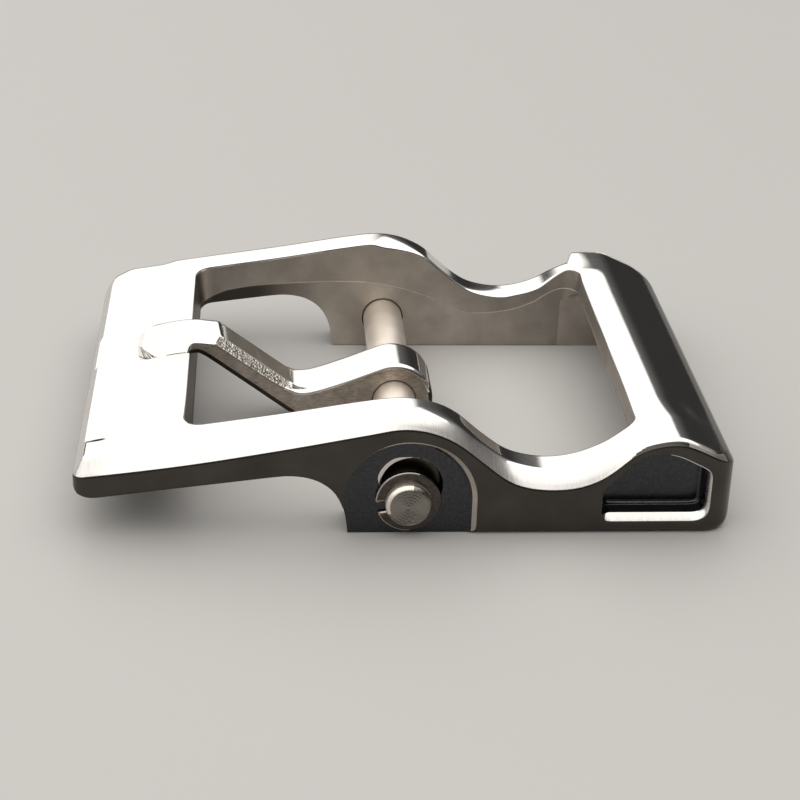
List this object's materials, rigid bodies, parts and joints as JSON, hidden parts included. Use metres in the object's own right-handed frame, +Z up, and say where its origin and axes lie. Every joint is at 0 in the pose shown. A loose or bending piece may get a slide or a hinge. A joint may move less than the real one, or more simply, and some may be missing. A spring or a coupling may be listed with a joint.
{
  "type": "pin buckle",
  "caption": "Polished steel pin buckle with curved side rails, a flat front bar, a swinging cranked prong on an axle, and an arched keeper bar.",
  "frame": {"origin": "on the surface the buckle lies on, under the middle of the axle, which is also the middle of the whole", "axes": "+X from the axle to the keeper bar, along the strap; +Y along the axle, from the clip end to the head end; +Z up"},
  "size_m": [0.0642, 0.0512, 0.0128],
  "materials": {
    "frame_steel": "mirror polished cast stainless steel, satin inner walls",
    "axle_steel": "turned stainless steel with faint rings",
    "clip_steel": "plain stamped spring steel",
    "prong_steel": "polished top, brushed sides"
  },
  "bodies": {
    "frame_assembly": {"frame": "frame_steel", "axle": "axle_steel", "retaining_clip": "clip_steel"},
    "prong_arm": {"prong": "prong_steel"}
  },
  "joints": [
    {"name": "prong_hinge", "type": "hinge", "parent": "frame_assembly", "child": "prong_arm", "pos_m": [0, 0.0007, 0.00365], "axis": [0, 1, 0], "range_deg": [0, 145]}
  ]
}
